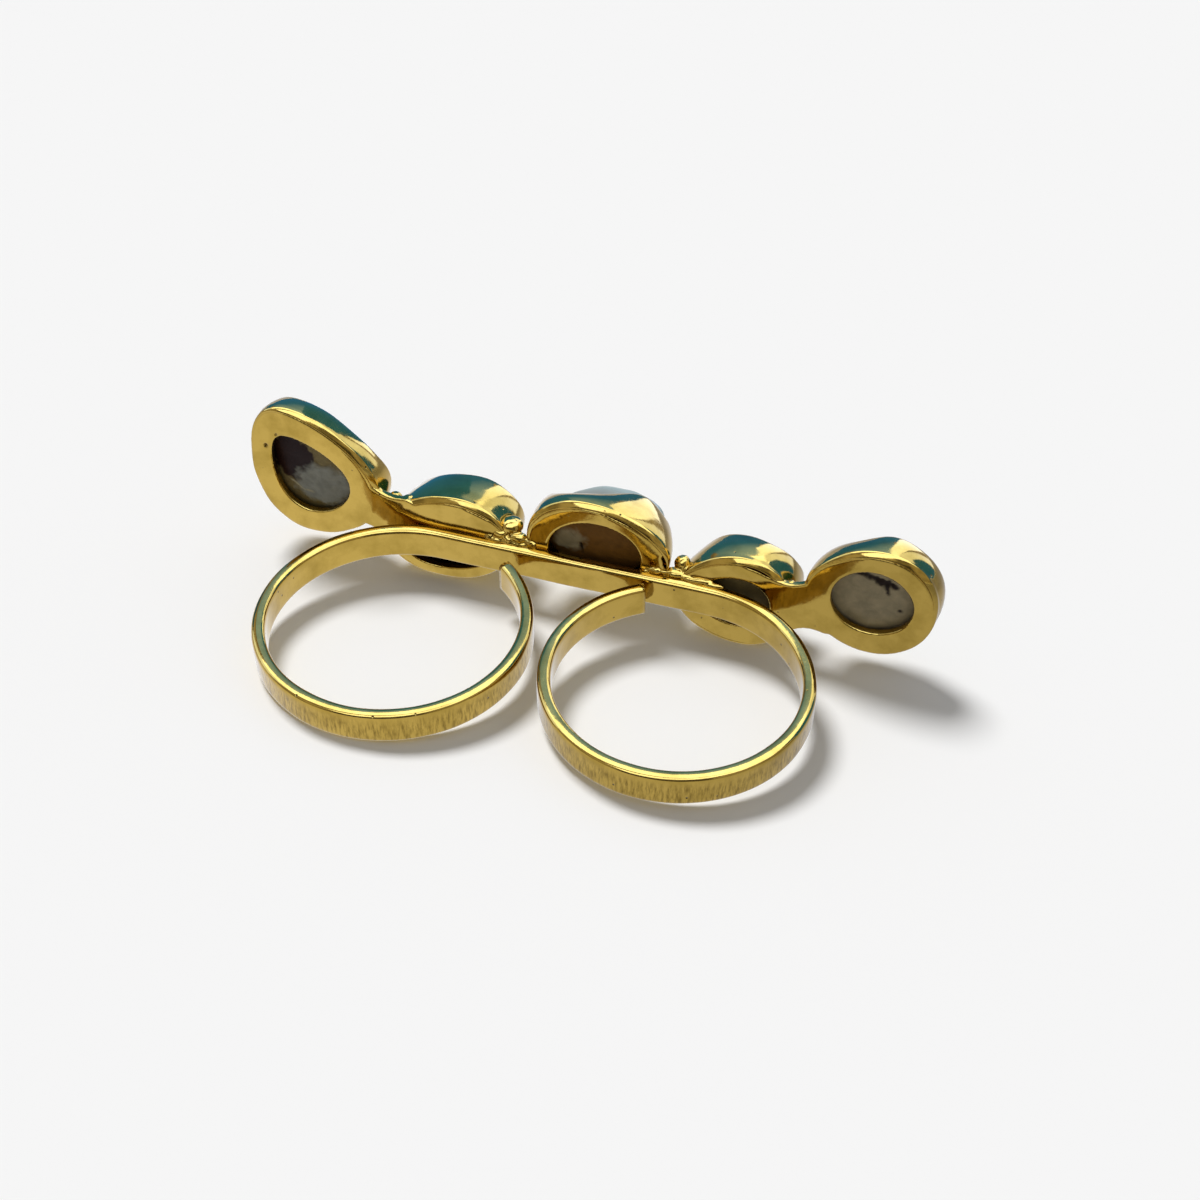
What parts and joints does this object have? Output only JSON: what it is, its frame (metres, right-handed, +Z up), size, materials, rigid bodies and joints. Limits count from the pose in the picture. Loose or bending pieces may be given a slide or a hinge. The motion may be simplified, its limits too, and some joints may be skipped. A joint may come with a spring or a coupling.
{
  "type": "pearl ring",
  "caption": "Open gold ring bent from one flat strip into finger loops side by side, with a row of egg-shaped bezel settings on its straight stretch, each closed round a baroque pearl.",
  "frame": {"origin": "middle of the ring's box, on the table it lies on", "axes": "+X along the row of settings to the end with the smaller loop, +Y from the finger loops to the settings, +Z up"},
  "size_m": [0.0506, 0.0246, 0.0125],
  "materials": {
    "gilt_brass": "polished gold plate over brass, worn and pitted inside the band",
    "pearl_brown": "nacre with brown and crystalline grey patches",
    "pearl_beige": "nacre, satin, pale blue front",
    "pearl_grey": "nacre, satin, chipped dark patches"
  },
  "bodies": {
    "root": {"band_and_settings": "gilt_brass", "pearl_1": "pearl_brown", "pearl_2": "pearl_brown", "pearl_3": "pearl_beige", "pearl_4": "pearl_brown", "pearl_5": "pearl_grey"}
  },
  "joints": []
}
